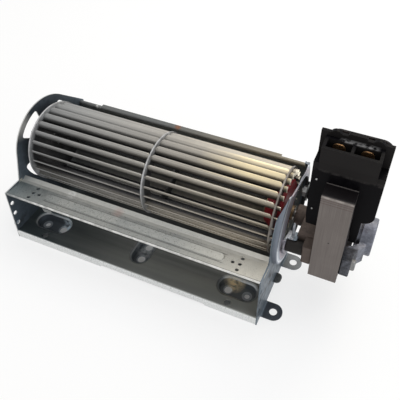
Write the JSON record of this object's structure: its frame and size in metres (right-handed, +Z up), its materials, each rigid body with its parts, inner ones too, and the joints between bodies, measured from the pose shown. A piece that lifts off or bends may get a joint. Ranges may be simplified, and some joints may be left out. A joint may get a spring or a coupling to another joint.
{
  "type": "cross flow fan",
  "caption": "Sheet steel cross flow fan with a long bladed impeller, a front outlet duct and a shaded-pole motor on its right end.",
  "frame": {"origin": "in the mounting plane, under the middle of the fan's overall box", "axes": "+X along the impeller's axis towards the motor, -Y out of the outlet, +Z up from the mounting face"},
  "size_m": [0.2617, 0.1022, 0.1367],
  "materials": {
    "zinc_sheet": "galvanised sheet, spangled, lightly soiled",
    "zinc_plate": "galvanised sheet, blue-grey",
    "blade_steel": "coated steel strip, warm grey",
    "bright_steel": "plain turned or stamped steel",
    "silicone_red": "soft dark red silicone",
    "rubber_black": "black rubber",
    "bronze": "sintered bronze, dull",
    "brass": "brass strip",
    "copper": "bare copper",
    "enamelled_wire": "enamelled winding wire",
    "lamination": "stacked electrical sheet, matt",
    "die_cast": "rough die casting",
    "rotor_alloy": "cast aluminium",
    "black_moulding": "black moulded resin",
    "felt": "oiled felt"
  },
  "bodies": {
    "housing": {"scroll_housing": "zinc_sheet", "stabiliser_strip": "zinc_sheet", "left_end_plate": "zinc_plate", "right_end_plate": "zinc_plate", "left_bearing_grommet": "rubber_black", "left_bearing_bush": "bronze", "left_bearing_clip": "bright_steel", "stator_stack": "lamination", "core_bar": "lamination", "shading_rings": "copper", "coil_bobbin": "black_moulding", "coil_winding": "enamelled_wire", "terminal_tabs": "brass", "left_bearing_bracket": "die_cast", "right_bearing_bracket": "die_cast", "motor_bearings": "bronze", "bearing_felts": "felt", "bearing_clips": "bright_steel", "motor_spacers": "rubber_black", "motor_screws": "bright_steel", "motor_nuts": "bright_steel"},
    "rotor": {"impeller_blades": "blade_steel", "left_end_disc": "blade_steel", "centre_disc": "blade_steel", "right_end_disc": "blade_steel", "left_hub": "bright_steel", "left_stub_shaft": "bright_steel", "drive_hub": "silicone_red", "drive_hub_insert": "brass", "motor_shaft": "bright_steel", "rotor_core": "lamination", "rotor_end_rings": "rotor_alloy", "thrust_washers": "black_moulding"}
  },
  "joints": [
    {"name": "impeller_spin", "type": "hinge", "parent": "housing", "child": "rotor", "pos_m": [-0.02015, 0.0061, 0.0527], "axis": [1, 0, 0], "continuous": true}
  ]
}
